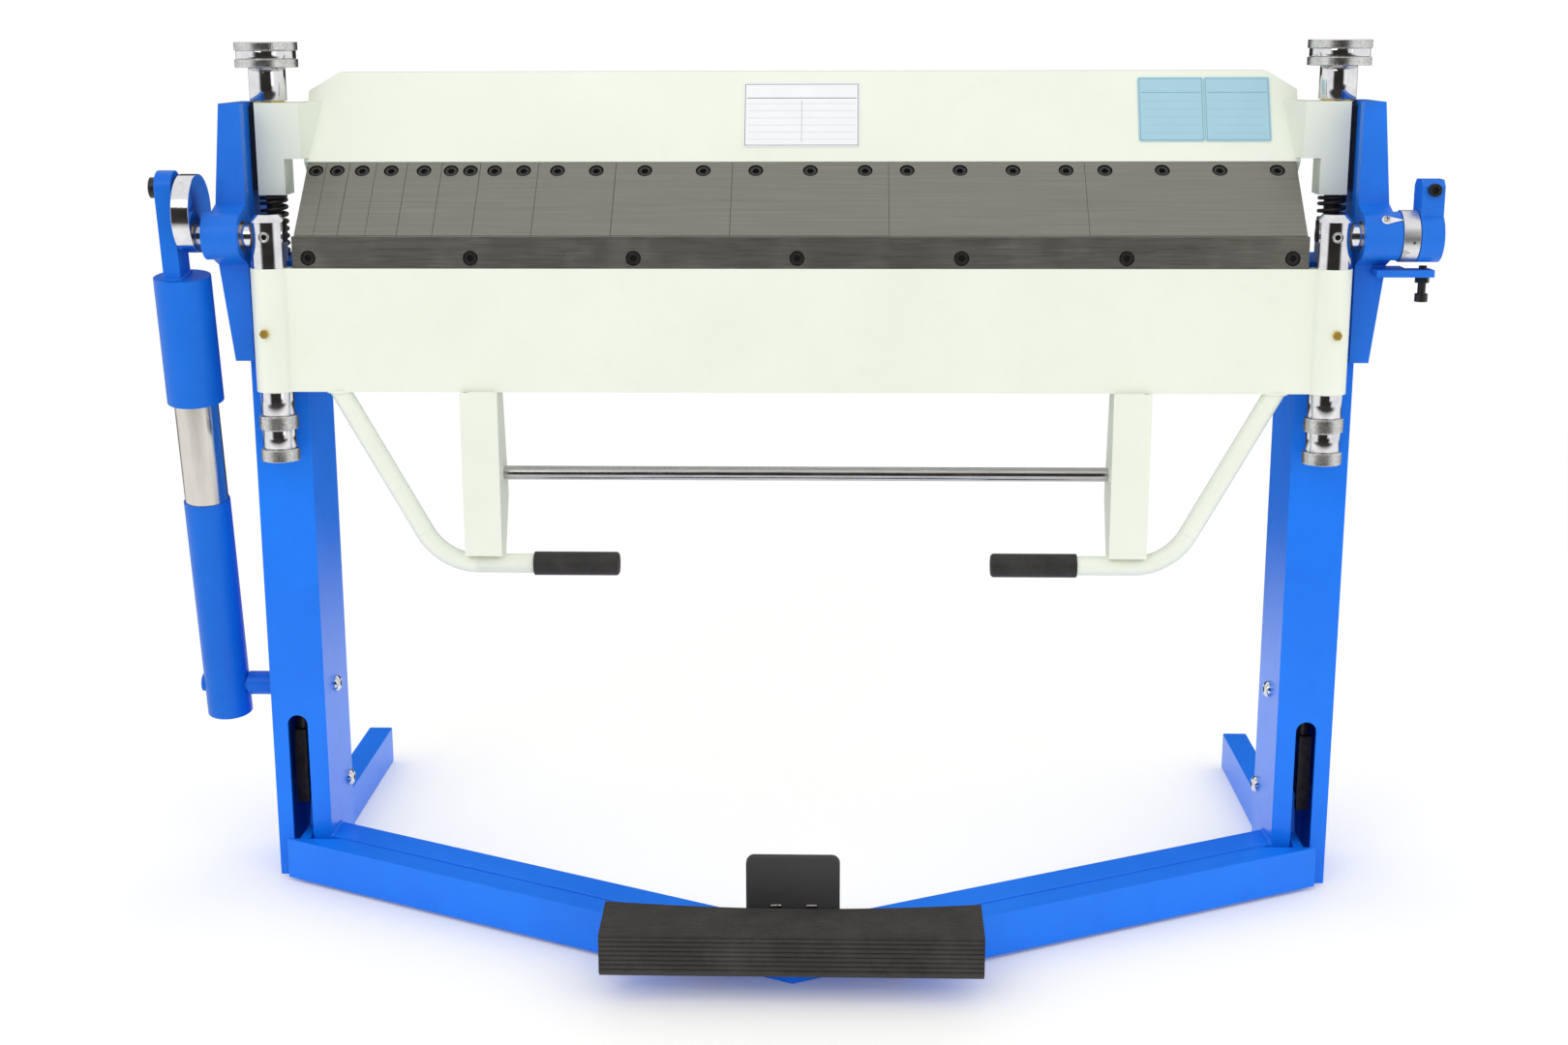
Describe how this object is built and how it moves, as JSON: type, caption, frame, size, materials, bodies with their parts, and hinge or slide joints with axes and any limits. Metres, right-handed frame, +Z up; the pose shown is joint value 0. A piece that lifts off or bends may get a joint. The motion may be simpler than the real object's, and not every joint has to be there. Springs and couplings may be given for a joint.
{
  "type": "box and pan folding brake",
  "caption": "Floor-standing manual sheet metal folder: segmented fingers on a foot-clamped beam, swinging apron with pull handles and counterbalance strut, V-shaped pedal.",
  "frame": {"origin": "on the floor, straight under the middle of the bend line", "axes": "+X to the right as the operator sees it, along the bend line; +Y to the rear; +Z up"},
  "size_m": [1.616, 0.844, 1.1118],
  "materials": {
    "leg_paint": "satin blue paint",
    "casting_paint": "satin blue paint, slightly rough casting",
    "cream_paint": "satin pale green-white paint",
    "ground_steel": "ground",
    "polished_steel": "polished",
    "black_steel": "black oxide",
    "rubber": "matte ribbed rubber",
    "brass": "yellow passivated",
    "plate_white": "blank printed plate",
    "silver": "satin",
    "white_paint": "satin"
  },
  "bodies": {
    "frame": {"leg_left": "leg_paint", "leg_right": "leg_paint", "rear_feet": "leg_paint", "front_stretcher": "leg_paint", "bed_beam": "cream_paint", "bed_plate": "ground_steel", "side_casting_left": "casting_paint", "side_casting_right": "casting_paint", "guide_strips": "black_steel", "pivot_bushes": "brass", "casting_bolts": "black_steel", "leg_bolts": "polished_steel", "rod_guides": "black_steel", "strut_pin": "polished_steel", "angle_pointer": "white_paint", "stop_bolt": "black_steel"},
    "clamp_beam": {"clamp_beam": "cream_paint", "finger_set_small": "ground_steel", "finger_50": "ground_steel", "finger_75": "ground_steel", "finger_100": "ground_steel", "finger_150": "ground_steel", "finger_200": "ground_steel", "finger_250": "ground_steel", "finger_270": "ground_steel", "finger_screws": "black_steel", "lift_rods": "ground_steel", "rod_collars": "brass", "lift_springs": "black_steel", "blank_plates": "plate_white"},
    "adjuster_nut_left": {"adjuster_nut_left": "polished_steel"},
    "adjuster_nut_right": {"adjuster_nut_right": "polished_steel"},
    "adjuster_lock_left": {"adjuster_lock_left": "polished_steel"},
    "adjuster_lock_right": {"adjuster_lock_right": "polished_steel"},
    "apron": {"apron_panel": "cream_paint", "apron_bar": "ground_steel", "apron_bar_screws": "black_steel", "hinge_stud_left": "polished_steel", "hinge_stud_right": "polished_steel", "pivot_pins": "polished_steel", "set_screws": "black_steel", "apron_fittings": "brass", "apron_handles": "cream_paint", "hand_bar": "polished_steel", "handle_grips": "rubber", "crank_disc": "polished_steel", "graduated_ring": "silver", "stop_arm": "casting_paint"},
    "hinge_nut_left": {"hinge_nut_left": "polished_steel"},
    "hinge_nut_right": {"hinge_nut_right": "polished_steel"},
    "hinge_lock_left": {"hinge_lock_left": "polished_steel"},
    "hinge_lock_right": {"hinge_lock_right": "polished_steel"},
    "strut_upper": {"strut_head": "leg_paint", "crank_bolt": "black_steel"},
    "strut_lower": {"strut_tube": "polished_steel", "strut_sleeve": "leg_paint", "strut_spring": "black_steel"},
    "pedal": {"pedal_frame": "leg_paint", "tread_pad": "rubber", "release_plate": "black_steel"}
  },
  "joints": [
    {"name": "beam_lift", "type": "slide", "parent": "frame", "child": "clamp_beam", "axis": [0, 0, 1], "range_m": [0, 0.025], "stiffness_N_per_m": 31000, "springref_m": 0.03, "deforming": ["lift_springs"]},
    {"name": "pedal_swing", "type": "hinge", "parent": "frame", "child": "pedal", "pos_m": [0, 0.146, 0.101], "axis": [-1, 0, 0], "range_deg": [0, 32.94]},
    {"name": "apron_swing", "type": "hinge", "parent": "frame", "child": "apron", "pos_m": [0, 0, 0.874], "axis": [-1, 0, 0], "range_deg": [0, 135]},
    {"name": "strut_tilt", "type": "hinge", "parent": "frame", "child": "strut_lower", "pos_m": [-0.785, 0.096, 0.255], "axis": [-1, 0, 0], "range_deg": [0, 2.75]},
    {"name": "strut_slide", "type": "slide", "parent": "strut_lower", "child": "strut_upper", "axis": [0, -0.14, 0.9902], "range_m": [-0.1069, 0], "deforming": ["strut_spring"]},
    {"name": "adjuster_turn_left", "type": "hinge", "parent": "clamp_beam", "child": "adjuster_nut_left", "pos_m": [-0.684, 0.1, 1.05], "axis": [0, 0, 1], "continuous": true},
    {"name": "adjuster_lock_turn_left", "type": "hinge", "parent": "clamp_beam", "child": "adjuster_lock_left", "pos_m": [-0.684, 0.1, 1.1], "axis": [0, 0, 1], "continuous": true},
    {"name": "hinge_nut_turn_left", "type": "hinge", "parent": "apron", "child": "hinge_nut_left", "pos_m": [-0.6665, 0, 0.65], "axis": [0, 0, 1], "continuous": true},
    {"name": "hinge_lock_turn_left", "type": "hinge", "parent": "apron", "child": "hinge_lock_left", "pos_m": [-0.6665, 0, 0.6], "axis": [0, 0, 1], "continuous": true},
    {"name": "adjuster_turn_right", "type": "hinge", "parent": "clamp_beam", "child": "adjuster_nut_right", "pos_m": [0.684, 0.1, 1.05], "axis": [0, 0, 1], "continuous": true},
    {"name": "adjuster_lock_turn_right", "type": "hinge", "parent": "clamp_beam", "child": "adjuster_lock_right", "pos_m": [0.684, 0.1, 1.1], "axis": [0, 0, 1], "continuous": true},
    {"name": "hinge_nut_turn_right", "type": "hinge", "parent": "apron", "child": "hinge_nut_right", "pos_m": [0.6665, 0, 0.65], "axis": [0, 0, 1], "continuous": true},
    {"name": "hinge_lock_turn_right", "type": "hinge", "parent": "apron", "child": "hinge_lock_right", "pos_m": [0.6665, 0, 0.6], "axis": [0, 0, 1], "continuous": true}
  ],
  "couplings": [
    {"joint": "pedal_swing", "follows": "beam_lift", "rad_per_m": 22.983},
    {"joint": "strut_tilt", "follows": "apron_swing", "ratio": 0.020288},
    {"joint": "strut_slide", "follows": "apron_swing", "m_per_rad": -0.045283}
  ]
}
